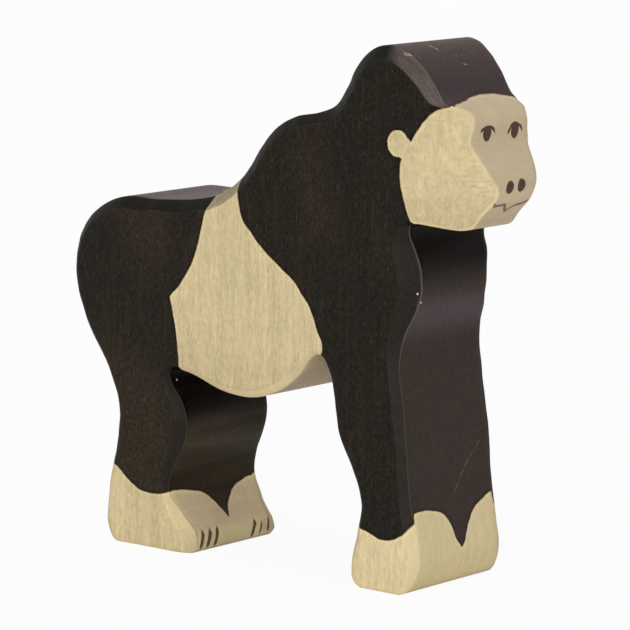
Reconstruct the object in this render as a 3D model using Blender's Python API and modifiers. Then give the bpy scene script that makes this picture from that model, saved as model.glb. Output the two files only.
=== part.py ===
"""Wooden gorilla figurine, standing on all four limbs and facing +X.

The body is one piece of board. Its outline is sawn from a paper pattern, its edges are sanded to
soft chamfers that are wide on the chest and head and nearly crisp on the face and the soles, and
the two sides of the muzzle are sanded flat and slanted. Units are metres, +Z is up, and the origin
is on the floor, midway along the length and the thickness.
"""

import math

import bmesh
import bpy
import numpy as np
from mathutils import Vector
from mathutils.geometry import delaunay_2d_cdt

# Sizes of the finished figurine
LENGTH = 0.110
HEIGHT = 0.112
THICKNESS = 0.030

# The slanted sides of the muzzle, above the neck: half the width of the face at the brow, how far
# the brow lies behind the nose, and how much the face widens for each metre towards the back
BROW_HALF_WIDTH = 0.0095
BROW_SETBACK = 0.0045
NECK_HEIGHT = 0.0735
MUZZLE_TAPER = 0.60
MUZZLE_BLEND = 0.0020

# How round the sanded edges are: 1 is a flat chamfer and 2 a quarter circle
EDGE_ROUNDNESS = 1.3
EDGE_STEPS = 4
CORNER_SMOOTHING = 4

# Distance between points along the outline and across the flat sides
OUTLINE_STEP = 0.0022
SIDE_STEP = 0.0045

# The paper pattern in millimetres, anticlockwise as seen with the head on the right.
# Each row is x, z, how far the sanded edge reaches in from the outline, and how deep it cuts.
FOOT = [
    (-46.2, 4.6, 1.6, 1.6),
    (-44.6, 1.3, 0.9, 1.0),
    (-42.8, 0.0, 0.5, 0.7),
    (-33.0, 0.0, 0.6, 0.9),
    (-24.6, 0.0, 1.0, 1.7),
    (-22.3, 0.1, 2.3, 3.2),
    (-21.3, 1.6, 3.0, 3.9),
    (-21.4, 4.2, 2.7, 3.8),
    (-25.0, 8.5, 1.6, 2.4),
    (-27.7, 13.0, 0.8, 1.2),
]
THIGH = [
    (-26.8, 17.8, 1.3, 1.4),
    (-24.3, 22.8, 1.8, 2.0),
    (-23.2, 28.2, 2.0, 2.1),
    (-24.4, 32.6, 1.6, 1.9),
    (-27.0, 36.6, 1.0, 1.4),
    (-27.4, 38.9, 0.8, 1.2),
    (-25.8, 39.7, 0.9, 1.2),
]
BELLY = [
    (-21.4, 39.1, 1.3, 1.6),
    (-12.5, 36.4, 1.6, 1.6),
    (-4.0, 36.0, 1.6, 1.6),
    (3.0, 38.2, 1.5, 1.5),
    (9.0, 42.4, 1.2, 1.3),
    (12.0, 46.0, 0.9, 1.1),
    (13.9, 47.1, 0.8, 1.1),
    (15.8, 46.6, 0.8, 1.1),
]
ARM_BACK = [
    (17.3, 43.2, 1.3, 1.4),
    (18.2, 36.4, 1.8, 1.8),
    (19.1, 30.6, 2.0, 2.0),
    (22.9, 23.6, 2.0, 2.0),
    (24.9, 17.2, 2.0, 2.0),
    (24.1, 11.0, 1.8, 1.8),
    (23.0, 5.4, 1.5, 1.5),
]
HAND = [
    (23.6, 1.4, 0.9, 0.9),
    (26.0, 0.0, 0.4, 0.4),
    (31.0, 0.0, 0.3, 0.3),
    (36.4, 0.0, 0.3, 0.3),
    (37.9, 0.9, 0.6, 0.7),
    (39.9, 4.0, 1.4, 1.6),
    (40.5, 7.6, 1.8, 1.9),
    (39.8, 12.2, 1.9, 1.9),
]
ARM_FRONT = [
    (38.3, 19.0, 2.0, 1.5),
    (37.4, 29.0, 2.0, 1.4),
    (36.2, 39.0, 2.0, 1.6),
    (35.1, 47.6, 2.1, 1.8),
    (35.8, 53.0, 2.6, 2.8),
    (38.1, 58.6, 3.5, 4.2),
    (39.1, 63.6, 4.0, 4.7),
    (38.3, 69.0, 3.6, 4.0),
    (36.9, 73.0, 2.6, 3.2),
    (37.3, 75.4, 1.6, 2.4),
]
FACE = [
    (39.2, 76.5, 0.7, 0.9),
    (42.6, 76.1, 0.7, 0.9),
    (46.2, 74.9, 1.0, 1.8),
    (48.4, 75.4, 1.3, 2.4),
    (49.6, 77.6, 1.3, 2.4),
    (52.6, 80.8, 0.8, 1.2),
    (54.2, 84.3, 0.4, 0.3),
    (53.1, 87.9, 0.4, 0.3),
    (50.4, 91.6, 0.4, 0.3),
    (50.1, 93.8, 0.4, 0.4),
    (50.1, 96.2, 0.5, 0.5),
    (48.9, 98.4, 0.6, 0.8),
    (46.4, 99.9, 0.8, 1.2),
]
HEAD = [
    (44.4, 101.5, 1.4, 2.0),
    (41.7, 105.2, 2.4, 2.9),
    (38.6, 108.5, 2.9, 2.7),
    (35.4, 110.8, 3.0, 2.3),
    (31.8, 111.7, 3.0, 2.1),
    (27.9, 110.7, 3.0, 2.1),
    (23.9, 107.3, 3.0, 2.1),
    (20.9, 102.4, 2.8, 2.1),
]
BACK = [
    (18.2, 98.8, 2.5, 2.0),
    (13.4, 96.9, 2.5, 2.0),
    (7.6, 95.8, 2.5, 2.0),
    (2.4, 93.2, 2.5, 2.0),
    (-2.2, 88.5, 2.5, 2.0),
    (-7.2, 82.1, 2.5, 2.0),
    (-13.0, 78.3, 2.6, 2.0),
    (-21.0, 76.4, 2.7, 2.0),
    (-32.0, 75.6, 2.7, 2.0),
    (-41.0, 75.4, 2.6, 2.0),
]
RUMP = [
    (-48.4, 72.4, 2.4, 2.0),
    (-53.1, 67.6, 2.3, 2.0),
    (-55.3, 61.6, 2.2, 2.0),
    (-54.9, 54.8, 2.2, 2.0),
    (-51.6, 46.4, 2.1, 2.0),
    (-46.1, 37.8, 2.0, 2.0),
    (-43.1, 30.6, 2.0, 2.0),
    (-43.3, 22.8, 2.0, 2.0),
    (-45.6, 13.2, 1.9, 1.9),
]
PATTERN = FOOT + THIGH + BELLY + ARM_BACK + HAND + ARM_FRONT + FACE + HEAD + BACK + RUMP
MILLIMETRE = 0.001


def smooth_loop(points, step):
    """Closed centripetal Catmull-Rom curve through the points, sampled about every step.

    The columns after the first two are carried along with the curve.
    """
    count = len(points)
    samples = []
    for i in range(count):
        p0, p1, p2, p3 = (points[(i + k) % count] for k in (-1, 0, 1, 2))
        spans = [math.sqrt(np.linalg.norm(b[:2] - a[:2])) for a, b in ((p0, p1), (p1, p2), (p2, p3))]
        t0 = 0.0
        t1 = t0 + spans[0]
        t2 = t1 + spans[1]
        t3 = t2 + spans[2]
        pieces = max(2, round(spans[1] ** 2 / step))
        for t in t1 + (t2 - t1) * np.arange(pieces) / pieces:
            a1 = ((t1 - t) * p0 + (t - t0) * p1) / (t1 - t0)
            a2 = ((t2 - t) * p1 + (t - t1) * p2) / (t2 - t1)
            a3 = ((t3 - t) * p2 + (t - t2) * p3) / (t3 - t2)
            b1 = ((t2 - t) * a1 + (t - t0) * a2) / (t2 - t0)
            b2 = ((t3 - t) * a2 + (t - t1) * a3) / (t3 - t1)
            samples.append(((t2 - t) * b1 + (t - t1) * b2) / (t2 - t1))
    return np.array(samples)


def sawn_outline():
    """The outline at its real size, centred on x = 0, with flat soles at z = 0."""
    loop = smooth_loop(np.array(PATTERN) * MILLIMETRE, OUTLINE_STEP)
    low = loop[:, 0].min()
    high = loop[:, 0].max()
    loop[:, 0] = (loop[:, 0] - (low + high) / 2) * LENGTH / (high - low)
    loop[:, 1] = np.maximum(loop[:, 1], 0.0) * HEIGHT / loop[:, 1].max()
    return loop


def half_thickness(x, z):
    """Half the thickness of the board, less where the side of the muzzle is sanded away.

    The slanted plane and the flat side meet in a blend, a smooth minimum of the two.
    """
    behind_brow = (LENGTH / 2 - BROW_SETBACK) - x
    plane = BROW_HALF_WIDTH + MUZZLE_TAPER * behind_brow
    flat = THICKNESS / 2
    nearness = np.clip(1 - np.abs(plane - flat) / MUZZLE_BLEND, 0, 1)
    blended = np.minimum(plane, flat) - nearness**2 * MUZZLE_BLEND / 4
    return np.where(z > NECK_HEIGHT, blended, flat)


def edge_reach(loop):
    """How far the sanded edge reaches into the wood, as a vector at each point of the outline.

    Averaging each vector with its neighbours keeps the inner edge smooth inside tight corners.
    """
    along = np.roll(loop[:, :2], -1, axis=0) - np.roll(loop[:, :2], 1, axis=0)
    along /= np.linalg.norm(along, axis=1, keepdims=True)
    reach = np.stack((-along[:, 1], along[:, 0]), axis=1) * loop[:, 2:3]
    for _ in range(CORNER_SMOOTHING):
        reach = (np.roll(reach, 1, axis=0) + 2 * reach + np.roll(reach, -1, axis=0)) / 4
    return reach


def edge_rings(loop):
    """Rings from the middle of the board's thickness over the sanded edge to the flat side."""
    x, z, _, depth = loop.T
    reach = edge_reach(loop)
    rings = [np.stack((x, np.zeros_like(x), z), axis=1)]
    for step in range(EDGE_STEPS + 1):
        turn = math.pi / 2 * step / EDGE_STEPS
        inwards = 1 - math.cos(turn) ** (2 / EDGE_ROUNDNESS)
        outwards = math.sin(turn) ** (2 / EDGE_ROUNDNESS)
        place = loop[:, :2] + reach * inwards
        half = half_thickness(place[:, 0], place[:, 1]) - depth * (1 - outwards)
        rings.append(np.stack((place[:, 0], -half, place[:, 1]), axis=1))
    return rings


def side_points(edge):
    """Points of a triangular grid that lie well inside the flat side's edge loop."""
    low = edge.min(axis=0)
    high = edge.max(axis=0)
    row_step = SIDE_STEP * math.sqrt(3) / 2
    grid = []
    for row, z in enumerate(np.arange(low[1], high[1], row_step)):
        for x in np.arange(low[0] + SIDE_STEP / 2 * (row % 2), high[0], SIDE_STEP):
            grid.append((x, z))
    grid = np.array(grid)
    ahead = np.roll(edge, -1, axis=0)
    inside = np.zeros(len(grid), dtype=bool)
    for (x1, z1), (x2, z2) in zip(edge, ahead):
        if z1 != z2:
            spans = (z1 > grid[:, 1]) != (z2 > grid[:, 1])
            crossing = x1 + (grid[:, 1] - z1) * (x2 - x1) / (z2 - z1)
            inside ^= spans & (grid[:, 0] < crossing)
    distance = np.linalg.norm(grid[:, None] - edge[None], axis=2).min(axis=1)
    return grid[inside & (distance > SIDE_STEP / 2)]


def half_body():
    """The near half of the body, from the flat side to the middle plane, where it is open."""
    rings = edge_rings(sawn_outline())
    shape = bmesh.new()
    loops = [[shape.verts.new(point) for point in ring] for ring in rings]
    count = len(loops[0])
    for inner, outer in zip(loops, loops[1:]):
        for i in range(count):
            j = (i + 1) % count
            shape.faces.new((inner[i], inner[j], outer[j], outer[i]))
    edge = rings[-1][:, [0, 2]]
    grid = side_points(edge)
    flat = [Vector(point) for point in np.concatenate((edge, grid))]
    boundary = [list(range(count))]
    points, _, triangles, _, _, _ = delaunay_2d_cdt(flat, [], boundary, 1, 1e-7)
    place = np.array([tuple(point) for point in points])
    half = half_thickness(place[:, 0], place[:, 1])
    verts = loops[-1] + [shape.verts.new((x, -y, z)) for (x, z), y in zip(place[count:], half[count:])]
    for triangle in triangles:
        shape.faces.new([verts[i] for i in triangle])
    bmesh.ops.recalc_face_normals(shape, faces=shape.faces)
    mesh = bpy.data.meshes.new("gorilla")
    shape.to_mesh(mesh)
    shape.free()
    return mesh


def painted_wood():
    """Black-brown stain over pale wood, the colour of most of the body."""
    material = bpy.data.materials.new("painted_wood")
    material.use_nodes = True
    shader = material.node_tree.nodes["Principled BSDF"]
    shader.inputs["Base Color"].default_value = (0.030, 0.022, 0.018, 1.0)
    shader.inputs["Roughness"].default_value = 0.55
    shader.inputs["Metallic"].default_value = 0.0
    return material


def build():
    for item in list(bpy.data.objects):
        bpy.data.objects.remove(item, do_unlink=True)
    parts = bpy.data.collections.new("gorilla_figurine")
    bpy.context.scene.collection.children.link(parts)
    body = bpy.data.objects.new("gorilla", half_body())
    body.data.materials.append(painted_wood())
    body.data.shade_smooth()
    body.data.set_sharp_from_angle(angle=math.radians(40))
    parts.objects.link(body)
    mirror = body.modifiers.new("other_half", "MIRROR")
    mirror.use_axis = (False, True, False)
    mirror.merge_threshold = 0.00001


build()
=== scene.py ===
"""Looks for the wooden gorilla figurine: sawn body, stained coat, painted face, studio and camera."""

import math

import bpy
import numpy as np
from mathutils import Euler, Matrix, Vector
from mathutils.geometry import delaunay_2d_cdt


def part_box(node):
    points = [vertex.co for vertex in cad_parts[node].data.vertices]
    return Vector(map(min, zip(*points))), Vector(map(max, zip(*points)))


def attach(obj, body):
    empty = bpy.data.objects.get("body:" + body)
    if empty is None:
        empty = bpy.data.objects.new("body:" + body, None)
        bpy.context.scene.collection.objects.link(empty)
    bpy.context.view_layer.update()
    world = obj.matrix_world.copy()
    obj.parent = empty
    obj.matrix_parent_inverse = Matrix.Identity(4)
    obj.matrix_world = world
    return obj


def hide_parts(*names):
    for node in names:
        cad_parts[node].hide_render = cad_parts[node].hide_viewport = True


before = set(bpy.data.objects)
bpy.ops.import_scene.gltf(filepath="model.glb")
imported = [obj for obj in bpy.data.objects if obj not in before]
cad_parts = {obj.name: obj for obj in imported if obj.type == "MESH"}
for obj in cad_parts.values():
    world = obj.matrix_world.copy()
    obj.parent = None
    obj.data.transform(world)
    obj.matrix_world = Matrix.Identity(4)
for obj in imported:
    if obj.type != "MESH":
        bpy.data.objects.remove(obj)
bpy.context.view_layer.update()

scene = bpy.context.scene
scene.view_settings.view_transform = "Standard"

# Camera: a long lens in front of the gorilla's right side, a little above its back, so that the
# flank and the front both show. The angles are the photograph's.
CAMERA_AZIMUTH = math.radians(40.3)
CAMERA_ELEVATION = math.radians(8.906)
CAMERA_DISTANCE = 0.77267
CAMERA_TARGET = Vector((0.00213, 0.0, 0.05256))
camera = bpy.data.objects.new("camera", bpy.data.cameras.new("camera"))
camera.data.lens = 209.3
camera.data.sensor_width = 36.0
outwards = Vector((
    math.sin(CAMERA_AZIMUTH) * math.cos(CAMERA_ELEVATION),
    -math.cos(CAMERA_AZIMUTH) * math.cos(CAMERA_ELEVATION),
    math.sin(CAMERA_ELEVATION),
))
camera.location = CAMERA_TARGET + CAMERA_DISTANCE * outwards
camera.rotation_euler = Euler((math.pi / 2 - CAMERA_ELEVATION, 0.0, CAMERA_AZIMUTH))
scene.collection.objects.link(camera)
scene.camera = camera


class Link:
    """The output of a shader node. Arithmetic on it adds Math nodes to the same material."""

    def __init__(self, tree, socket=None):
        self.tree = tree
        self.socket = socket

    def node(self, kind, settings=None, sockets=None, output=0):
        """Adds a node of that type: settings first, then values or links for its sockets."""
        made = self.tree.nodes.new(kind)
        for name, value in (settings or {}).items():
            if name == "curve":
                points = made.mapping.curves[0].points
                for place, height, handle in value[1:-1]:
                    points.new(place, height).handle_type = handle
                for point, (place, height, handle) in ((points[0], value[0]), (points[-1], value[-1])):
                    point.location = (place, height)
                    point.handle_type = handle
                made.mapping.update()
            elif name == "stops":
                ramp = made.color_ramp.elements
                for place, colour in value[1:-1]:
                    ramp.new(place).color = (*colour, 1.0)
                for stop, (place, colour) in ((ramp[0], value[0]), (ramp[-1], value[-1])):
                    stop.position = place
                    stop.color = (*colour, 1.0)
            else:
                setattr(made, name, value)
        for name, value in (sockets or {}).items():
            if isinstance(value, Link):
                self.tree.links.new(value.socket, made.inputs[name])
            else:
                made.inputs[name].default_value = value
        return Link(self.tree, made.outputs[output])

    def math(self, operation, *values):
        return self.node("ShaderNodeMath", {"operation": operation}, dict(enumerate(values)))

    def __add__(self, other):
        return self.math("ADD", self, other)

    def __radd__(self, other):
        return self.math("ADD", other, self)

    def __sub__(self, other):
        return self.math("SUBTRACT", self, other)

    def __rsub__(self, other):
        return self.math("SUBTRACT", other, self)

    def __mul__(self, other):
        return self.math("MULTIPLY", self, other)

    def __rmul__(self, other):
        return self.math("MULTIPLY", other, self)

    def __truediv__(self, other):
        return self.math("DIVIDE", self, other)

    def __pow__(self, other):
        return self.math("POWER", self, other)

    def __neg__(self):
        return self.math("MULTIPLY", self, -1.0)

    def __abs__(self):
        return self.math("ABSOLUTE", self)


# Studio: a pale floor and a plain white surround. The world is a soft tent of light, one wide
# lamp hangs above and one stands low, left of the camera. The camera and the gloss see plain white.
TENT_STRENGTH = 0.30
FLOOR_COLOUR = (0.90, 0.90, 0.90, 1.0)
FLOOR_HALF = 3.0
FLOOR_WHITE = 0.93
LAMPS = (
    # Name, azimuth and elevation in degrees, strength, and how wide its light is in degrees
    ("lamp_above", 0, 82, 1.15, 80),
    ("lamp_beside", 30, 12, 1.80, 30),
)


def white_rays(node):
    """1 for the rays that show the background: the camera's, and those of gloss and glass."""
    kinds = ("Camera", "Glossy", "Transmission")
    rays = [node.node("ShaderNodeLightPath", output=f"Is {kind} Ray") for kind in kinds]
    return node.math("MAXIMUM", rays[0], node.math("MAXIMUM", rays[1], rays[2]))


world = bpy.data.worlds.new("tent")
world.use_nodes = True
scene.world = world
tent = Link(world.node_tree)
background = world.node_tree.nodes["Background"]
background.inputs["Color"].default_value = (1.0, 1.0, 1.0, 1.0)
strength = TENT_STRENGTH + white_rays(tent) * (1.0 - TENT_STRENGTH)
world.node_tree.links.new(strength.socket, background.inputs["Strength"])

floor_mesh = bpy.data.meshes.new("floor")
corners = np.array(((-1, -1, 0), (1, -1, 0), (1, 1, 0), (-1, 1, 0))) * FLOOR_HALF
floor_mesh.from_pydata(corners.tolist(), [], [(0, 1, 2, 3)])
floor = bpy.data.objects.new("floor", floor_mesh)
scene.collection.objects.link(floor)
floor_paper = bpy.data.materials.new("floor_paper")
floor_paper.use_nodes = True
floor_mesh.materials.append(floor_paper)
paper = Link(floor_paper.node_tree)
matt = floor_paper.node_tree.nodes["Principled BSDF"]
matt.inputs["Base Color"].default_value = FLOOR_COLOUR
matt.inputs["Roughness"].default_value = 0.9
matt.inputs["Specular IOR Level"].default_value = 0.0
glow = paper.node("ShaderNodeEmission", {}, {"Color": (1.0, 1.0, 1.0, 1.0), "Strength": 1.0})
seen = paper.node("ShaderNodeMixShader", {},
                  {0: white_rays(paper) * FLOOR_WHITE, 1: Link(paper.tree, matt.outputs[0]), 2: glow})
floor_output = floor_paper.node_tree.nodes["Material Output"]
floor_paper.node_tree.links.new(seen.socket, floor_output.inputs["Surface"])

for name, azimuth, elevation, power, width in LAMPS:
    lamp = bpy.data.objects.new(name, bpy.data.lights.new(name, "SUN"))
    lamp.data.energy = power
    lamp.data.angle = math.radians(width)
    lamp.rotation_euler = Euler((math.radians(90 - elevation), 0.0, math.radians(azimuth)))
    scene.collection.objects.link(lamp)

# Body: one piece of board, sawn from a paper pattern, with its edges sanded to chamfers by hand
# and the two sides of the muzzle sanded flat and slanted. It stands for the CAD body.
MM = 0.001
PATTERN = np.array((
    # Foot: x, z, how far the sanded edge reaches in from the outline, and how deep it cuts
    (-46.2, 4.6, 1.6, 1.6), (-44.6, 1.3, 0.9, 1.0), (-42.8, 0.0, 0.5, 0.7), (-33.0, 0.0, 0.6, 0.9),
    (-24.6, 0.0, 0.5, 1.0), (-22.0, 0.0, 1.0, 2.2), (-21.2, 1.3, 2.0, 2.8), (-21.4, 4.2, 2.4, 3.0),
    (-25.0, 8.5, 1.6, 2.4), (-27.7, 13.0, 0.8, 1.2),
    # Thigh
    (-26.8, 17.8, 1.3, 1.4), (-24.3, 22.8, 1.8, 2.0), (-23.2, 28.2, 2.0, 2.1), (-24.4, 32.6, 1.6, 1.9),
    (-27.0, 36.6, 1.0, 1.4), (-27.4, 38.9, 0.8, 1.2), (-25.8, 39.7, 0.9, 1.2),
    # Belly
    (-21.4, 39.1, 1.3, 1.6), (-12.5, 36.4, 1.6, 1.6), (-4.0, 36.0, 1.6, 1.6), (3.0, 38.2, 1.5, 1.5),
    (9.0, 42.4, 1.2, 1.3), (12.0, 46.0, 0.9, 1.1), (13.9, 47.1, 0.8, 1.1), (15.8, 46.6, 0.8, 1.1),
    # Back of the arm
    (17.3, 43.2, 1.3, 1.4), (18.2, 36.4, 1.8, 1.8), (19.1, 30.6, 2.0, 2.0), (22.9, 23.6, 2.0, 2.0),
    (24.9, 17.2, 2.0, 2.0), (24.1, 11.0, 1.8, 1.8), (23.0, 5.4, 1.5, 1.5),
    # Hand
    (23.6, 1.4, 0.9, 0.9), (26.0, 0.0, 0.4, 0.4), (31.0, 0.0, 0.3, 0.3), (36.4, 0.0, 0.3, 0.3),
    (37.9, 0.9, 0.6, 0.7), (39.9, 4.0, 1.4, 1.6), (40.5, 7.6, 1.8, 1.9), (39.8, 12.2, 1.9, 1.9),
    # Front of the arm and chest
    (38.3, 19.0, 2.0, 1.5), (37.4, 29.0, 2.0, 1.4), (36.2, 39.0, 2.0, 1.6), (35.1, 47.6, 2.1, 1.8),
    (35.8, 53.0, 2.6, 2.8), (38.1, 58.6, 3.5, 4.2), (39.1, 63.6, 4.0, 4.7), (38.3, 69.0, 3.6, 4.0),
    (36.9, 73.0, 2.6, 3.2), (37.3, 75.4, 1.6, 2.4),
    # Jaw, muzzle and brow
    (39.2, 76.3, 0.7, 0.9), (42.6, 75.7, 0.7, 0.9), (46.2, 74.9, 0.8, 0.9), (48.4, 75.4, 0.5, 0.4),
    (49.6, 77.6, 0.4, 0.3), (52.6, 80.8, 0.4, 0.3), (54.2, 84.3, 0.4, 0.3), (53.1, 87.9, 0.4, 0.3),
    (50.4, 91.6, 0.4, 0.3), (50.1, 93.8, 0.4, 0.4), (50.1, 96.2, 0.5, 0.5), (48.9, 98.4, 0.6, 0.8),
    (46.4, 99.9, 0.7, 1.6),
    # Head
    (44.4, 101.5, 1.0, 3.5), (41.7, 105.2, 1.7, 3.6), (38.6, 108.5, 2.3, 3.4), (35.4, 110.8, 2.8, 2.5),
    (31.8, 111.7, 3.0, 2.1), (27.9, 110.7, 3.0, 2.1), (23.9, 107.3, 3.0, 2.1), (20.9, 102.4, 2.8, 2.1),
    # Shoulder and back
    (18.2, 98.8, 2.5, 2.0), (13.4, 96.9, 2.5, 2.0), (7.6, 95.8, 2.5, 2.0), (2.4, 93.2, 2.5, 2.0),
    (-2.2, 88.5, 2.5, 2.0), (-7.2, 82.1, 2.5, 2.0), (-13.0, 78.3, 2.6, 2.0), (-21.0, 76.4, 2.7, 2.0),
    (-32.0, 75.6, 2.7, 2.0), (-41.0, 75.4, 2.6, 2.0),
    # Rump and back of the leg
    (-48.4, 72.4, 2.4, 2.0), (-53.1, 67.6, 2.3, 2.0), (-55.3, 61.6, 2.2, 2.0), (-54.9, 54.8, 2.2, 2.0),
    (-51.6, 46.4, 2.1, 2.0), (-46.1, 37.8, 2.0, 2.0), (-43.1, 30.6, 2.0, 2.0), (-43.3, 22.8, 2.0, 2.0),
    (-45.6, 13.2, 1.9, 1.9),
))
OUTLINE_STEP = 0.7
RIM_STEPS = 9
EDGE_STEPS = 10
EDGE_ROUNDNESS = 1.10
CORNER_SPREAD = 3.1
FLANK_STEP = 1.2
CHEEKS = np.array((
    # Height, where the sanding of the cheeks starts in x, and the half widths that it leaves at the
    # front, on the near side and on the far side
    (74.0, 38.0, 7.6, 6.2), (76.4, 38.0, 6.2, 6.6), (78.0, 38.5, 5.3, 7.5), (80.5, 39.0, 5.1, 7.4),
    (82.2, 39.5, 4.9, 7.1), (83.5, 40.0, 5.6, 6.9), (84.8, 40.0, 6.7, 6.9), (86.5, 40.0, 8.2, 7.2),
    (88.8, 40.0, 9.0, 7.7), (91.5, 40.0, 9.2, 9.0), (93.3, 40.5, 10.0, 9.4), (95.0, 41.0, 9.5, 9.1),
    (96.5, 41.5, 9.0, 9.2), (98.0, 42.0, 8.2, 9.5), (99.1, 42.5, 8.2, 10.4), (100.0, 43.0, 9.8, 11.5),
    (100.5, 43.0, 13.4, 12.8), (101.3, 43.0, 15.0, 14.2), (103.0, 42.0, 15.0, 14.8),
    (106.0, 40.0, 15.0, 15.0),
))
CHEEK_ROUNDNESS = 1.5
CHEEK_BLUR = 0.4
CHIN_FRONT = 48.5
BROW_FRONT = 44.0
BROW_HEIGHT = 95.0
FAR_CROWN = np.array((
    # Height, and how many times wider and deeper the far chamfer of the head is there than the near one
    (99.5, 1.0, 1.0), (101.5, 3.4, 1.1), (105.0, 2.1, 1.0), (108.5, 1.4, 0.85), (111.0, 1.0, 1.0),
))
CROWN_START = 36.0
FAR_TOE = 1.35
TOE_RANGE = (-28.0, 0.0)
TOE_FADE = (4.0, 10.0)
UNEVENNESS = (
    # By what share the chamfer is wider or narrower, over how many millimetres, and the seed
    (0.07, 16.0, 5), (0.03, 5.0, 8),
)
FACE_TOP = 106.0
NECK_HEIGHT = 73.5

low, high = (np.array(corner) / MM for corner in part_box("gorilla"))
length, thickness, height = high - low


def smooth_path(rows, step):
    """Points about one step apart on the closed centripetal Catmull-Rom curve through the rows.

    A point is a blend of the four rows round it: three straight lines between neighbouring rows,
    two lines between those, and one line between those two, all at the same knot value.
    """
    p = [np.roll(rows, 1 - k, axis=0) for k in range(4)]
    spans = np.array([np.sqrt(np.linalg.norm((b - a)[:, :2], axis=1)) for a, b in zip(p, p[1:])])
    pieces = np.maximum(2, np.round(spans[1] ** 2 / step)).astype(int)
    row = np.repeat(np.arange(len(rows)), pieces)
    share = (np.arange(len(row)) - np.repeat(np.cumsum(pieces) - pieces, pieces)) / pieces[row]
    knots = np.vstack((np.zeros(len(rows)), np.cumsum(spans, axis=0)))[:, row]
    at = knots[1] + share * spans[1][row]

    def line(a, b, start, end):
        part = ((at - knots[start]) / (knots[end] - knots[start]))[:, None]
        return a + (b - a) * part

    a1, a2, a3 = (line(p[k][row], p[k + 1][row], k, k + 1) for k in range(3))
    return line(line(a1, a2, 0, 2), line(a2, a3, 1, 3), 1, 2)


def wander(places, wavelength, seed):
    """Smooth irregularity of about plus or minus one: a sum of six sines over the place.

    Each sine has its own direction, wavelength and phase from the seeded generator.
    """
    draw = np.random.default_rng(seed)
    waves = draw.normal(size=(6, places.shape[1]))
    waves *= draw.uniform(0.6, 1.6, size=(6, 1)) / np.linalg.norm(waves, axis=1, keepdims=True)
    phase = draw.uniform(0, 2 * math.pi, size=6)
    return np.sin(places @ waves.T * 2 * math.pi / wavelength + phase).sum(axis=1) / 3


outline = smooth_path(PATTERN, OUTLINE_STEP)
outline[:, 0] -= (outline[:, 0].min() + outline[:, 0].max()) / 2
outline[:, 0] *= length / np.ptp(outline[:, 0])
outline[:, 1] = np.maximum(outline[:, 1], 0.0) * height / outline[:, 1].max()
stations = len(outline)

face_start = np.where(outline[:, 1] < BROW_HEIGHT, CHIN_FRONT, BROW_FRONT)
face = outline[(outline[:, 0] > face_start) & (outline[:, 1] < FACE_TOP)]
face = face[np.argsort(face[:, 1])]


def half_thickness(x, z, side):
    """Half the board, less where the cheeks are sanded away towards the front of the face.

    It falls from the full half thickness where the sanding starts to the half width that is left
    at the front of the outline, as a power of the share of the way between the two. Both limits
    are means over a small range of heights, which rounds the corners of their table.
    """
    flat = thickness / 2
    front = np.interp(z, face[:, 1], face[:, 0])
    heights = np.stack([z + shift for shift in CHEEK_BLUR * np.linspace(-1, 1, 5)])
    start = np.interp(heights, CHEEKS[:, 0], CHEEKS[:, 1]).mean(axis=0)
    width = np.interp(heights, CHEEKS[:, 0], CHEEKS[:, 2 if side < 0 else 3]).mean(axis=0)
    share = np.clip((x - start) / (front - start), 0, 1)
    sanded = flat - (flat - width) * share**CHEEK_ROUNDNESS
    return np.where(z > NECK_HEIGHT, np.minimum(sanded, flat), flat)


def edge_reach():
    """How far the sanded edge reaches into the wood, as a vector at each station.

    It is the outline's inward normal times the pattern's reach, blurred along the outline by
    repeated averages, so that the inner edge stays smooth inside tight corners.
    """
    along = np.roll(outline[:, :2], -1, axis=0) - np.roll(outline[:, :2], 1, axis=0)
    along /= np.linalg.norm(along, axis=1, keepdims=True)
    reach = np.stack((-along[:, 1], along[:, 0]), axis=1) * outline[:, 2:3]
    for _ in range(round(2 * (CORNER_SPREAD / OUTLINE_STEP) ** 2)):
        reach = (np.roll(reach, 1, axis=0) + 2 * reach + np.roll(reach, -1, axis=0)) / 4
    return reach


def edge_rows(side):
    """Rows of points from the rim's middle over the sanded edge to the flat side, x, y and z.

    Across the edge the section is a superellipse: a flat chamfer with its two corners just
    rounded. The hand that sanded it makes the chamfer a little wider here and narrower there,
    and the far side's is broader still at the crown and the toes.
    """
    x, z, _, depth = outline.T
    uneven = 1.0
    for amount, wavelength, seed in UNEVENNESS:
        uneven = uneven + amount * wander(outline[:, :2], wavelength, seed + side)
    turn = math.pi / 2 * np.arange(EDGE_STEPS + 1)[:, None] / EDGE_STEPS
    inwards = 1 - np.cos(turn).clip(0) ** (2 / EDGE_ROUNDNESS)
    outwards = np.sin(turn) ** (2 / EDGE_ROUNDNESS)
    crown = np.array([np.interp(z, FAR_CROWN[:, 0], FAR_CROWN[:, k]) for k in (1, 2)])
    crown = np.where((side > 0) & (x > CROWN_START), crown, 1.0)
    at_toe = (side > 0) & (x > TOE_RANGE[0]) & (x < TOE_RANGE[1])
    toe = np.where(at_toe, np.interp(z, TOE_FADE, (FAR_TOE, 1.0)), 1.0)
    depth = depth * crown[1] * toe
    reach = edge_reach() * (uneven * crown[0] * toe)[:, None]
    px = x + reach[:, 0] * inwards
    pz = z + reach[:, 1] * inwards
    py = half_thickness(px, pz, side) - depth * uneven * (1 - outwards)
    rim = np.arange(1, RIM_STEPS)[:, None] / RIM_STEPS * py[0]
    px = np.vstack((np.tile(x, (RIM_STEPS - 1, 1)), px))
    pz = np.vstack((np.tile(z, (RIM_STEPS - 1, 1)), pz))
    return np.stack((px, side * np.vstack((rim, py)), pz), axis=2)


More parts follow.
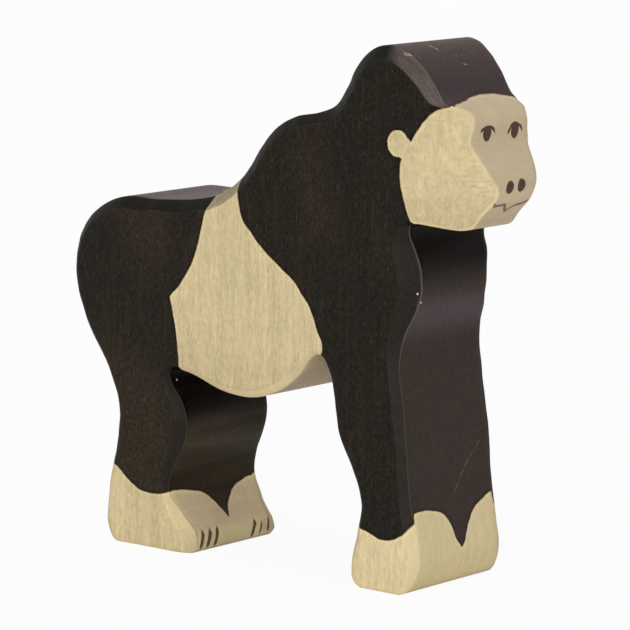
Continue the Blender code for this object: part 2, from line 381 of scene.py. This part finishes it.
def flank_points(edge):
    """Points of a triangular grid inside the flat side's edge loop, and clear of it.

    A point is inside where a line from it towards +x crosses the loop an odd number of times.
    """
    x, z = np.meshgrid(np.arange(-length / 2, length / 2, FLANK_STEP),
                       np.arange(0, height, FLANK_STEP * math.sqrt(3) / 2))
    x[1::2] += FLANK_STEP / 2
    grid = np.stack((x.ravel(), z.ravel()), axis=1)
    ahead = np.roll(edge, -1, axis=0)
    spans = (edge[:, 1] > grid[:, 1:]) != (ahead[:, 1] > grid[:, 1:])
    rise = np.where(ahead[:, 1] == edge[:, 1], 1.0, ahead[:, 1] - edge[:, 1])
    crossing = edge[:, 0] + (grid[:, 1:] - edge[:, 1]) * (ahead[:, 0] - edge[:, 0]) / rise
    inside = (spans & (grid[:, :1] < crossing)).sum(axis=1) % 2 == 1
    gap = np.linalg.norm(grid[:, None] - edge[None], axis=2).min(axis=1)
    return grid[inside & (gap > FLANK_STEP / 2)]


near = edge_rows(-1)
far = edge_rows(1)
middle = np.stack((outline[:, 0], np.zeros(stations), outline[:, 1]), axis=1)
rows = np.concatenate((near[::-1], middle[None], far))
band = np.arange(len(rows) * stations).reshape(len(rows), stations)
ahead = np.roll(band, -1, axis=1)
faces = np.stack((band[:-1], band[1:], ahead[1:], ahead[:-1]), axis=-1).reshape(-1, 4).tolist()
points = [rows.reshape(-1, 3)]
used = band.size
for side, ring in ((-1, rows[0]), (1, rows[-1])):
    edge = ring[:, [0, 2]]
    grid = flank_points(edge)
    loop = [list(range(stations))]
    flat = [Vector(point) for point in np.concatenate((edge, grid))]
    kept, _, triangles, _, _, _ = delaunay_2d_cdt(flat, [], loop, 1, 1e-7)
    inner = np.array([tuple(point) for point in kept])[stations:]
    points.append(np.stack((inner[:, 0], side * half_thickness(*inner.T, side), inner[:, 1]), axis=1))
    number = np.concatenate((band[0] if side < 0 else band[-1], used + np.arange(len(inner))))
    turned = np.array(triangles)[:, ::-side]
    faces += number[turned].tolist()
    used += len(inner)
points = np.concatenate(points)

body_mesh = bpy.data.meshes.new("gorilla_body")
body_mesh.from_pydata((points * MM).tolist(), [], faces)
body_mesh.shade_smooth()
share = np.concatenate((np.zeros(RIM_STEPS - 1), np.arange(EDGE_STEPS + 1) / EDGE_STEPS))
share = np.repeat(np.concatenate((share[::-1], (0.0,), share)), stations)
share = np.concatenate((share, np.ones(len(points) - len(share)))).astype(np.float32)
body_mesh.attributes.new("edge_share", "FLOAT", "POINT").data.foreach_set("value", share)
body = bpy.data.objects.new("gorilla_body", body_mesh)
scene.collection.objects.link(body)
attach(body, "root")
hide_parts("gorilla")

# Bare wood: pale lime wood with its grain upright. The sawn edges show the wood side on, a little
# greyer, and the top of the back and the soles show end grain, which is darker.
painted_wood = bpy.data.materials.new("painted_wood_grain")
painted_wood.use_nodes = True
body_mesh.materials.append(painted_wood)
wood = Link(painted_wood.node_tree)
place = wood.node("ShaderNodeTexCoord", output="Object")
place = place.node("ShaderNodeVectorMath", {"operation": "SCALE"}, {0: place, "Scale": 1 / MM})
facing = wood.node("ShaderNodeTexCoord", output="Normal")


def split(vector):
    """The x, y and z of a vector."""
    return [vector.node("ShaderNodeSeparateXYZ", sockets={0: vector}, output=k) for k in "XYZ"]


def stretched(vector, *factors):
    """The place with each of its axes multiplied, so that a pattern on it is finer or longer."""
    return vector.node("ShaderNodeVectorMath", {"operation": "MULTIPLY"}, {0: vector, 1: factors})


def speckle(vector, scale, detail=2.0, roughness=0.5, output="Fac"):
    """Noise of about one spot for each 1 / scale millimetres."""
    return vector.node("ShaderNodeTexNoise", {},
                       {"Vector": vector, "Scale": scale, "Detail": detail, "Roughness": roughness}, output)


def ramp(value, start, end):
    """0 at start and 1 at end, smoothly between; start may be the larger."""
    if start > end:
        return 1.0 - ramp(value, end, start)
    return value.node("ShaderNodeMapRange", {"interpolation_type": "SMOOTHSTEP"},
                      {"Value": value, "From Min": start, "From Max": end})


def least(*values):
    """The smallest of several values: inside all of the shapes whose depths they are."""
    result = values[0]
    for value in values[1:]:
        result = result.math("MINIMUM", result, value)
    return result


def most(*values):
    """The largest of several values: inside any of the shapes whose depths they are."""
    result = values[0]
    for value in values[1:]:
        result = result.math("MAXIMUM", result, value)
    return result


def mixed(share, first, second):
    """The first colour where share is 0 and the second where it is 1."""
    sockets = {0: share, 6: first, 7: second}
    return share.node("ShaderNodeMix", {"data_type": "RGBA"}, sockets, output=2)


def shaded(colour, factor):
    """The colour made lighter or darker by a factor."""
    start = colour if isinstance(colour, Link) else colour[:3]
    return factor.node("ShaderNodeVectorMath", {"operation": "SCALE"}, {0: start, "Scale": factor})


def srgb(*levels):
    """A colour as it is seen on a screen, from 0 to 255, as the linear colour of a shader."""
    shares = [level / 255 for level in levels]
    return (*(s / 12.92 if s < 0.04045 else ((s + 0.055) / 1.055) ** 2.4 for s in shares), 1.0)


def region(*limits):
    """1 inside every limit. A limit is a value, where it counts as 0 and where it counts as 1."""
    result = ramp(*limits[0])
    for limit in limits[1:]:
        result = result * ramp(*limit)
    return result


def between(value, start, full, fading, end):
    """0 up to start, 1 from full to fading, and 0 again from end on."""
    return ramp(value, start, full) * ramp(value, end, fading)


FLANK_WOOD = srgb(202, 185, 143)
SAWN_WOOD = srgb(204, 188, 146)
FACE_WOOD = srgb(199, 181, 151)
END_WOOD = srgb(182, 165, 138)
PATCH_WOOD = srgb(206, 186, 150)
FIBRE_WOOD = srgb(206, 172, 132)
HEART = (-70.0, 150.0)
RING_RATE = 0.42
RING_SWAY = 5.0
HAND_PAINTED_LIGHT = 0.14
ARRIS_WEAR_AND_HIGHLIGHT = 0.06
CHEEK_RIM_HIGHLIGHT = 0.12
INSTEP_PAINTED_LIGHT = 0.13
UNDERSIDE_BOUNCE_LIGHT = 0.22
JAW_PAINTED_SHADE = 0.16
DARK_LOW_CHEEK = 0.10
DARK_LOW_BELLY = 0.09
BACK_TOP_PAINTED_SHADE = 0.42
DARK_FOOT_LINE = 0.45

x, y, z = split(place)
nx, _, nz = split(facing)
edge_share = wood.node("ShaderNodeAttribute", {"attribute_name": "edge_share"}, output="Fac")
flat_side = ramp(edge_share, 0.80, 0.98)
chamfered = ramp(edge_share, 0.05, 0.30)
rim_side = 1.0 - chamfered
inner_arris = between(edge_share, 0.80, 0.92, 0.95, 0.995)
outer_arris = between(edge_share, 0.01, 0.06, 0.10, 0.22)
end_grain = ramp(abs(nz), 0.25, 0.75)

# The figure of the wood: rings round the heart of the tree, and noise drawn out along the grain
rings = ((x - HEART[0]) * (x - HEART[0]) + (y - HEART[1]) * (y - HEART[1])) ** 0.5
sway = speckle(stretched(place, 1, 1, 0.15), 0.07, 2.0)
ring_phase = wood.math("FRACT", rings * RING_RATE + sway * RING_SWAY)
late_wood = between(ring_phase, 0.45, 0.95, 0.95, 1.0)
streaks = speckle(stretched(place, 1, 1, 0.07), 1.1, 3.0, 0.6)
fibres = speckle(stretched(place, 1, 1, 0.09), 3.2, 2.0, 0.6)
pores = ramp(speckle(stretched(place, 1, 1, 0.22), 2.6, 1.0), 0.66, 0.74)
patches = speckle(stretched(place, 1, 1, 0.5), 0.09, 2.0)
mottle = speckle(stretched(place, 1, 1, 0.45), 1.9, 2.0, 0.7)
blotches = speckle(stretched(place, 1, 1, 0.7), 0.75, 3.0, 0.7)
filing = speckle(stretched(place, 0.16, 0.16, 1), 1.9, 2.0, 0.6)

# Places on the body made paler or darker: painted light and shade on the hand, the arrises, the cheek rim,
# the instep, the underside, the front of the jaw and the top of the back, and the file's marks
on_cheek = region((z, 70.0, 76.0), (x, 30.0, 34.0))
# Painted highlight: the chamfer round the cheek is made paler
cheek_rim = ramp(edge_share, 0.0, 0.3) * ramp(edge_share, 1.0, 0.7) * on_cheek
filed = on_cheek * flat_side * region((x, 47.5, 52.0), (z, 81.0, 83.5), (z, 91.0, 88.0))
# Painted light: the sides of the hand are made paler, as if more brightly lit
hand_painted_light = region((x, 16.0, 30.0), (z, 34.0, 14.0)) * (1.0 - end_grain)
# Painted light: the instep is made paler where the lamps leave it dark
instep = region((nx, 0.2, 0.5), (x, -10.0, -20.0), (z, 3.5, 6.5), (z, 18.0, 16.0))
low_belly = flat_side * region((z, 50.0, 41.0), (z, 30.0, 36.0))
# Painted shade: the rim below the front of the muzzle is made darker
jaw_front = on_cheek * rim_side * ramp(z, 82.5, 78.5)
foot_line = region((edge_share, 0.24, 0.12), (edge_share, 0.0, 0.02), (x, -19.0, -21.0), (z, 1.0, 2.5))
# Painted shade: bare wood facing up on the top of the back is made darker
back_top_shade = region((nz, 0.1, 0.5), (x, 30.0, 20.0), (z, 60.0, 70.0))
across_grain = end_grain * ramp(x, 38.0, 30.0) * (1.0 - chamfered * (1.0 - ramp(z, 60.0, 70.0)))

# The front of the face gets a greyer, bluer bare-wood colour: partly the wood's own, partly painted cool
# sheen
bare = mixed(region((x, 40.0, 42.0), (z, 60.0, 74.0)), SAWN_WOOD, FACE_WOOD)
bare = mixed(chamfered, bare, FLANK_WOOD)
bare = mixed(across_grain, bare, END_WOOD)
bare = mixed(ramp(patches, 0.35, 0.7) * 0.35, bare, PATCH_WOOD)
figure = (streaks - 0.5) * 0.45 + (fibres - 0.5) * 0.45 + (mottle - 0.5) * 0.60
figure = figure - late_wood * 0.06 - pores * 0.22
tone = 1.0 + figure * (0.45 + 0.55 * flat_side) * (1.0 - 0.5 * on_cheek)
tone = tone + (patches - 0.5) * 0.14 + (filing - 0.5) * (0.14 * on_cheek + 0.45 * filed)
# Paler arrises: partly wear, partly painted highlight along the edges
tone = tone + hand_painted_light * HAND_PAINTED_LIGHT + (outer_arris + inner_arris) * ARRIS_WEAR_AND_HIGHLIGHT + cheek_rim * CHEEK_RIM_HIGHLIGHT
tone = tone + on_cheek * flat_side * ((blotches - 0.5) * 0.55 - ramp(z, 86.0, 78.0) * DARK_LOW_CHEEK)
tone = tone + instep * INSTEP_PAINTED_LIGHT - low_belly * DARK_LOW_BELLY - jaw_front * JAW_PAINTED_SHADE
tone = tone - back_top_shade * BACK_TOP_PAINTED_SHADE - foot_line * DARK_FOOT_LINE
# Painted bounce light: bare wood facing down is made paler, as if lit from the floor
tone = tone * (1.0 + UNDERSIDE_BOUNCE_LIGHT * ramp(nz, -0.2, -0.8))
bare = mixed(ramp(fibres, 0.55, 0.75) * 0.30, shaded(bare, tone), shaded(FIBRE_WOOD, tone))

# Coat: black-brown stain, brushed on by hand up to drawn lines. Each line below is a row of points
# that the brush followed, and the depth inside it, in millimetres, says where the bare wood is.
HAND_WOBBLE = 0.4
HAND_SHIVER = 0.2


def shaken(vector, scale, detail, amount):
    """The place moved by up to half an amount in millimetres, by noise of that scale."""
    noise = speckle(place, scale, detail, output="Color")
    centred = noise.node("ShaderNodeVectorMath", {"operation": "SUBTRACT"}, {0: noise, 1: (0.5, 0.5, 0.5)})
    return noise.node("ShaderNodeVectorMath", {"operation": "MULTIPLY_ADD"},
                      {0: centred, 1: (amount,) * 3, 2: vector})


def drawn(along, points):
    """A smooth line through points (along, height), with a corner where a third value says so."""
    places = [point[0] for point in points]
    heights = [point[1] for point in points]
    left, right, low, high = places[0], places[-1], min(heights), max(heights)
    curve = [((point[0] - left) / (right - left), (point[1] - low) / (high - low),
              "VECTOR" if len(point) > 2 else "AUTO") for point in points]
    share = (along - left) / (right - left)
    clamped = share.math("MINIMUM", most(share, 0.0), 1.0)
    line = along.node("ShaderNodeFloatCurve", {"curve": curve}, {"Value": clamped})
    return line * (high - low) + low


def gap(across, along, points, step=0.4):
    """How far a place lies beyond a drawn line: its height over it, shortened by the line's slope."""
    line = drawn(along, points)
    slope = (drawn(along + step, points) - drawn(along - step, points)) / (2 * step)
    return (across - line) / (1.0 + slope * slope) ** 0.5


u, v, w = split(shaken(shaken(place, 0.28, 1.0, HAND_WOBBLE), 1.6, 2.0, HAND_SHIVER))

# Belly: the bare saddle between the leg and the arm. The left line leans back on the far flank.
LEFT_NEAR = ((40.8, -23.2), (47.8, -23.9), (52.1, -24.8), (55.4, -25.6, "corner"), (61.0, -20.7),
             (65.6, -18.2), (70.5, -16.6), (74.2, -15.5), (77.6, -14.0))
LEFT_FAR = ((40.8, -23.2), (48.0, -24.5, "corner"), (56.0, -26.5), (63.0, -28.5), (70.0, -30.5),
            (76.0, -32.0))
RIGHT = ((46.4, 15.2), (48.8, 16.7), (52.6, 15.3), (55.9, 13.9), (59.3, 11.5), (62.3, 8.7), (65.2, 4.5),
         (68.7, -0.2), (72.0, -3.5), (73.5, -4.9), (75.0, -5.6), (77.1, -6.1), (79.0, -6.4), (81.0, -6.6))
BELLY_LOW = 34.5
across_back = ramp(v, -13.4, 13.4)
left_depth = (1.0 - across_back) * gap(u, w, LEFT_NEAR) + across_back * gap(u, w, LEFT_FAR)
belly = least(left_depth, -gap(u, w, RIGHT), w - BELLY_LOW)

# Foot and hand: bare up to a low curve on each flank and to a point on the front
FOOT_FLANK = ((-46.5, 18.6), (-42.3, 17.2), (-40.4, 16.0), (-38.6, 14.6), (-36.4, 13.2), (-34.2, 12.3),
              (-31.5, 12.1), (-28.8, 12.3), (-26.5, 13.1))
FOOT_FRONT = ((-15.0, 13.2), (-13.4, 13.0), (-9.2, 12.5), (-5.7, 11.8), (-3.6, 11.0), (-2.2, 9.6),
              (-1.2, 7.9), (-0.4, 5.6, "corner"), (1.5, 7.9), (3.8, 9.7), (6.5, 11.2), (9.5, 12.0),
              (12.8, 12.5), (15.0, 12.6))
FOOT_REAR = ((-15.0, 18.4), (-8.0, 17.6), (0.0, 16.9), (7.0, 17.4), (15.0, 18.2))
HAND_FLANK = ((23.0, 12.8), (26.1, 12.7), (28.0, 12.3), (30.0, 11.7), (31.8, 11.0), (33.4, 10.9),
              (35.2, 11.2), (37.0, 12.1), (38.5, 13.0), (39.1, 13.9), (39.8, 14.8), (41.0, 16.6))
HAND_FRONT = ((-15.0, 16.8), (-12.5, 16.9), (-10.7, 17.1), (-7.8, 16.8), (-5.7, 16.3), (-4.2, 15.7),
              (-2.9, 14.6), (-2.0, 13.3), (-1.4, 11.8), (-0.7, 9.8), (0.7, 8.0, "corner"), (1.4, 8.6),
              (2.6, 10.5), (3.7, 12.4), (4.8, 13.6), (6.0, 14.8), (7.7, 15.8), (9.9, 16.6), (12.4, 17.5),
              (15.0, 17.7))
HAND_REAR = ((-15.0, 12.8), (-6.0, 12.2), (2.0, 11.8), (9.0, 12.3), (15.0, 12.9))
on_flank = ramp(abs(v), 12.8, 13.3)


def bare_end(front_share, rear, front, flank):
    """Depth inside the bare end of a limb, with its own line on the rear, the front and the flanks."""
    round_rim = -(1.0 - front_share) * gap(w, v, rear) - front_share * gap(w, v, front)
    return (1.0 - on_flank) * round_rim - on_flank * gap(w, u, flank)


foot = least(bare_end(ramp(u, -37.0, -35.0), FOOT_REAR, FOOT_FRONT, FOOT_FLANK), -u)
hand = least(bare_end(ramp(u, 31.0, 33.0), HAND_REAR, HAND_FRONT, HAND_FLANK), u)

# Face: a cheek with a round ear on each flank, and the front up to the hairline
CHEEK_TOP = ((39.9, 93.0), (41.2, 94.9), (42.2, 96.3), (43.3, 97.7), (44.5, 99.0), (45.5, 99.8),
             (46.6, 100.2), (48.0, 100.6))
CHEEK_REAR = ((75.0, 40.2), (76.9, 39.7), (79.2, 38.8), (82.7, 37.7), (85.9, 37.1), (88.0, 37.2),
              (89.6, 37.7), (91.2, 38.5), (92.4, 39.3), (93.4, 39.9))
HAIRLINE = ((-11.5, 99.9), (-10.9, 100.1), (-9.2, 100.5), (-5.5, 101.0), (-1.7, 101.6), (1.2, 101.8),
            (4.0, 101.8), (6.1, 101.5), (8.0, 101.2), (9.7, 100.9), (10.7, 100.3), (11.5, 99.6))
BROW_REAR = 41.0
BROW_HALF_WIDTH = 12.2
FACE_LOW = 74.0
EAR = ((36.6, 92.5, 2.73), (38.1, 91.75, 2.25))
cheek = least(-gap(w, u, CHEEK_TOP), gap(u, w, CHEEK_REAR))
ear = most(*(radius - ((u - ex) * (u - ex) + (w - ez) * (w - ez)) ** 0.5 for ex, ez, radius in EAR))
brow = least(-gap(w, v, HAIRLINE), u - BROW_REAR, BROW_HALF_WIDTH - abs(v))
face = least(most(cheek, ear, brow), w - FACE_LOW)
bare_depth = most(belly, foot, hand, face)

# Stain: it took unevenly, so the flanks, the rim, the chamfers, the chest, the crown and the leg each have
# their own tone. The lighter, purplish tones where the rim and chamfers face forwards or up are partly
# painted sheen, and a painted shadow makes the throat and the top of the leg nearly black
COAT_FLANK = srgb(32, 29, 23)
COAT_THIGH = srgb(46, 39, 29)
COAT_WARM = srgb(46, 35, 27)
COAT_EDGE = srgb(17, 16, 11)
COAT_FRONT_EDGE = srgb(38, 35, 30)
COAT_ARM = srgb(56, 48, 43)
COAT_CHEST_SHEEN = srgb(76, 66, 68)
COAT_LEG = srgb(47, 40, 30)
COAT_LOW_LEG = srgb(49, 40, 23)
COAT_CROWN_SHEEN = srgb(75, 62, 58)
COAT_BROW = srgb(61, 51, 53)
COAT_CROWN_EDGE = srgb(90, 80, 76)
COAT_STREAK = srgb(58, 44, 32)
COAT_PORE = srgb(94, 84, 66)
COAT_PATCH = srgb(30, 32, 26)
SHADOW_BLACK = srgb(6, 3, 1)
FRONT_HIGHLIGHT_LINE = srgb(128, 122, 112)
BACK_HIGHLIGHT_LINE = srgb(120, 110, 98)
FRINGE = srgb(124, 66, 34)
coat = ramp(bare_depth, 0.12, -0.12)
rim = ramp(edge_share, 0.16, 0.04)
forwards = ramp(nx, 0.15, 0.5)
on_head = ramp(z, 82.0, 94.0)

# Horizontal bands on the leg's coat: brush marks and painted sheen
brush_and_sheen_bands = speckle(stretched(place, 0.12, 0.12, 1), 0.33, 2.0)
leg_light = (1.0 + (brush_and_sheen_bands - 0.5) * 1.8) * (0.72 + 0.62 * ramp(z, 16.0, 23.0))
leg_stain = shaded(mixed(ramp(z, 22.0, 17.0), COAT_LEG, COAT_LOW_LEG), leg_light)
# Painted reflection: a lighter, purplish band across the chest, 50 to 63 mm up
arm_stain = mixed(between(z, 50.0, 57.0, 58.0, 63.0), COAT_ARM, COAT_CHEST_SHEEN)
front_stain = mixed(ramp(x, 5.0, 10.0), leg_stain, arm_stain)
# The head's front rim takes a lighter, purplish tone: partly how the stain took, partly painted sheen
front_stain = mixed(on_head, front_stain, COAT_BROW)
# Painted shadow: under the chin on the chest, and under the belly on the top of the leg, the coat is made
# nearly black
shadow = most(region((x, 30.0, 34.0), (z, 61.5, 69.0), (z, 80.0, 76.0)),
              forwards * region((x, 0.0, -8.0), (z, 26.0, 31.5), (z, 45.0, 42.0)))
front_stain = mixed(shadow * 0.97, front_stain, SHADOW_BLACK)
# Rim facing up takes a lighter tone: end grain and painted sheen
rim_stain = mixed(ramp(nz, 0.55, 0.95), front_stain, COAT_CROWN_SHEEN)

along_edge = wood.node("ShaderNodeCombineXYZ", {}, {"X": edge_share * 3.0, "Y": z * 0.10, "Z": nx})
scraped = speckle(along_edge, 2.4, 3.0, 0.6) - 0.5
crown_edge = shaded(COAT_CROWN_EDGE, 0.8 + 0.3 * ramp(z, 109.0, 102.0) + scraped * 0.9)
# Chamfers facing forwards are lighter than the others, the head's front chamfer lighter still: partly how
# the stain took, partly painted sheen
edge_stain = mixed(forwards, COAT_EDGE, COAT_FRONT_EDGE)
edge_stain = mixed(on_head * ramp(nx, 0.05, 0.42), edge_stain, crown_edge)

warm = ramp(speckle(stretched(place, 1, 1, 0.6), 0.05, 1.0), 0.45, 0.65)
warm = warm * (1.0 - region((x, 5.0, 15.0), (z, 75.0, 60.0)))
flank_stain = mixed(region((x, -22.0, -30.0), (z, 48.0, 28.0)), COAT_FLANK, COAT_THIGH)
flank_stain = shaded(mixed(warm * 0.6, flank_stain, COAT_WARM), 0.92 + 0.16 * warm)

stain = mixed(flat_side, mixed(rim, edge_stain, rim_stain), flank_stain)
stain = mixed(ramp(streaks, 0.45, 0.75) * (0.10 + 0.20 * flat_side), stain, COAT_STREAK)
stain = mixed(pores * 0.25 * flat_side, stain, COAT_PORE)
stain = mixed(ramp(patches, 0.5, 0.8) * 0.3 * flat_side, stain, COAT_PATCH)
dashes = speckle(stretched(place, 1, 1, 0.35), 3.4, 1.0)
grime = (fibres - 0.5) * 1.2 + (mottle - 0.5) * 1.4 + (dashes - 0.5) * 2.4
stain = shaded(stain, 1.0 + grime * (0.35 + 0.65 * flat_side) - 0.35 * ramp(bare_depth, -1.0, -0.2))
# Painted highlight, partly wear: thin light lines along the outer arris of forward-facing edges and the
# inner arris of upward-facing ones
front_highlight_line = between(edge_share, 0.01, 0.05, 0.10, 0.22) * forwards
back_highlight_line = inner_arris * ramp(nz, 0.1, 0.4)
stain = mixed(front_highlight_line * (0.14 + 0.2 * ramp(z, 44.0, 54.0)), stain, FRONT_HIGHLIGHT_LINE)
stain = mixed(back_highlight_line * ramp(streaks, 0.4, 0.6) * 0.12, stain, BACK_HIGHLIGHT_LINE)

halo = between(bare_depth, 0.05, 0.20, 0.35, 0.75)
fringe = ramp(abs(bare_depth + 0.05), 0.3, 0.05) * ramp(speckle(place, 0.45, 1.0), 0.45, 0.6)
surface = mixed(coat, shaded(bare, 1.0 + 0.09 * halo), stain)
surface = mixed(fringe * 0.25, surface, FRINGE)

# Drawn features: eyes, nostrils and mouth on the front of the face, and lines between the toes,
# put on with a fine brush. Each is a depth in millimetres inside the brush mark.


def stroke(along, across, points, thickness, ends):
    """Depth inside a brush mark that follows a drawn line and thins out over a length at its ends."""
    first, last = points[0][0], points[-1][0]
    full = ramp(along, first, first + ends) * ramp(along, last, last - ends)
    return least(full * thickness / 2 - abs(gap(across, along, points, 0.15)), along - first, last - along)


def oval(across, up, centre, half_width, half_height, lean=0.0, taper=0.0):
    """Depth inside an oval that leans sideways by a share of its height, and narrows downwards."""
    rise = (up - centre[1]) / half_height
    side = (across - centre[0] - (up - centre[1]) * lean) / (half_width * (1.0 + rise * taper))
    return (1.0 - (rise * rise + side * side) ** 0.5) * min(half_width, half_height)


NEAR_LID = ((-6.8, 95.05), (-5.6, 95.65), (-4.4, 95.95), (-3.2, 95.85), (-2.2, 95.3), (-1.5, 94.2))
FAR_LID = ((2.2, 94.1), (2.9, 94.9), (3.9, 95.85), (4.9, 96.05), (5.8, 95.75), (6.6, 95.3), (7.15, 94.7),
           (7.4, 94.2))
IRISES = (
    # Centre across and up, half width, half height, lean and taper
    ((-4.35, 94.6), 1.35, 1.5, 0.12, 0.2), ((4.75, 94.6), 1.25, 1.6, 0.12, 0.2),
)
NOSTRILS = (((-1.85, 83.95), 1.28, 1.4, -0.1), ((1.95, 84.05), 1.28, 1.4, -0.1))
MOUTH = ((-4.9, 80.8), (-4.2, 80.15, "corner"), (-2.4, 80.1), (-0.8, 80.2, "corner"),
         (1.5, 78.6, "corner"), (2.1, 79.1), (2.8, 79.5), (3.8, 79.8), (4.8, 79.9), (5.8, 80.2), (6.8, 80.5))
TOES = (
    # How thick the stroke is, and its points: height and place across the foot
    (1.05, ((0.2, -11.2), (0.7, -11.0), (1.5, -10.9), (2.8, -10.6), (3.9, -10.3), (4.9, -10.3))),
    (1.05, ((0.2, -9.1), (0.8, -8.8), (1.7, -8.6), (2.9, -8.2), (4.0, -7.9), (5.0, -7.9))),
    (1.0, ((0.2, -6.7), (0.8, -6.4), (1.7, -6.2), (2.8, -5.9), (4.0, -5.6), (5.0, -5.4))),
    (0.95, ((0.1, 5.3), (0.6, 5.6), (1.4, 5.8), (2.5, 6.1), (3.6, 6.5), (4.8, 6.3))),
    (0.55, ((0.3, 8.0), (0.9, 8.2), (1.9, 8.4), (2.8, 8.6), (4.0, 8.8))),
    (0.8, ((0.6, 10.6), (1.1, 10.8), (2.1, 10.9), (3.3, 11.1), (4.7, 11.1))),
)
EYE_PAINT = srgb(58, 42, 38)
TOE_PAINT = srgb(76, 58, 32)
LIP_PAINT = srgb(96, 72, 66)
TOE_BLUSH = srgb(190, 146, 112)
on_face = ramp(u, 44.0, 45.0)
on_toes = region((u, -28.0, -26.5), (u, -14.0, -16.0))
lids = (stroke(v, w, line, 0.66, ends) for line, ends in ((NEAR_LID, 0.6), (FAR_LID, 0.5)))
irises = (oval(v, w, *iris) for iris in IRISES)
nostrils = (oval(v, w, *nostril) for nostril in NOSTRILS)
eyes = on_face * ramp(most(*lids, *irises, *nostrils), -0.10, 0.10)
lips = on_face * ramp(stroke(v, w, MOUTH, 0.58, 0.3), -0.10, 0.08)
toes = on_toes * ramp(most(*(stroke(w, v, line, thick, 1.2) for thick, line in TOES)), -0.10, 0.10)
toe_blush = ramp(oval(v, w, (9.8, 2.6), 1.0, 1.8), 0.0, 0.5) * on_toes
surface = mixed(toe_blush * 0.5, surface, TOE_BLUSH)
surface = mixed(eyes * 0.94, surface, EYE_PAINT)
surface = mixed(toes * 0.95, surface, TOE_PAINT)
surface = mixed(lips * 0.85, surface, LIP_PAINT)

# Wear: pale nicks and scuffs on the crown, a scratch down the arm and a few specks
SCRATCH = ((18.7, 0.6), (24.6, 5.6), (28.5, 10.2))
NICKS = (
    ((36.2, -12.9), (37.1, -12.5), (38.2, -11.5)),
    ((34.3, -3.6), (36.0, -3.1), (37.6, -2.4)),
    ((38.4, -1.0), (38.8, 2.2), (38.9, 4.4)),
    ((40.0, 0.2), (40.6, 1.6), (40.9, 3.0)),
)
SPECKS = ((39.1, -11.5, 62.0), (39.2, -10.7, 60.1), (-26.6, -11.9, 37.0), (46.7, -10.6, 100.2))
SPECK_RADIUS = 0.26
SCRATCH_TONE = srgb(112, 102, 92)
NICK_TONE = srgb(170, 150, 140)
SCUFF_TONE = srgb(150, 132, 126)
SPECK_TONE = srgb(225, 215, 195)
scratch = stroke(w, v, SCRATCH, 0.22, 3.0) + ramp(speckle(place, 1.2, 1.0), 0.55, 0.4) * 0.2
nicks = most(*(stroke(u, v, line, 0.55, 0.6) for line in NICKS)) + (speckle(place, 1.5, 2.0) - 0.55) * 0.9
specks = most(*(SPECK_RADIUS - ((u - sx) * (u - sx) + (v - sy) * (v - sy) + (w - sz) * (w - sz)) ** 0.5
                for sx, sy, sz in SPECKS))
scuffs = ramp(speckle(place, 0.9, 4.0, 0.7), 0.66, 0.72) * on_head * ramp(nz, 0.35, 0.6) * rim
surface = mixed(ramp(scratch, -0.05, 0.10) * ramp(x, 35.0, 37.0) * rim * 0.4, surface, SCRATCH_TONE)
surface = mixed(ramp(nicks, -0.05, 0.15) * ramp(z, 104.0, 107.0) * coat * 0.6, surface, NICK_TONE)
surface = mixed(scuffs * coat * 0.3, surface, SCUFF_TONE)
surface = mixed(ramp(specks, -0.05, 0.08) * 0.8, surface, SPECK_TONE)

# Gloss and relief: paint is a little smoother than bare wood, and the grain stands up slightly
BARE_ROUGHNESS = 0.62
PAINT_SMOOTHNESS = 0.14
GRAIN_RELIEF = 0.00006
painted = most(coat, eyes, toes, lips)
grain_height = (fibres - 0.5) * 0.7 - pores + (streaks - 0.5) * 0.5
roughness = BARE_ROUGHNESS - painted * PAINT_SMOOTHNESS + (streaks - 0.5) * 0.2
bump = wood.node("ShaderNodeBump", {}, {"Height": grain_height, "Strength": 0.5, "Distance": GRAIN_RELIEF})
shader = painted_wood.node_tree.nodes["Principled BSDF"]
for socket, value in (("Base Color", surface), ("Roughness", roughness), ("Normal", bump)):
    painted_wood.node_tree.links.new(value.socket, shader.inputs[socket])
shader.inputs["Specular IOR Level"].default_value = 0.06
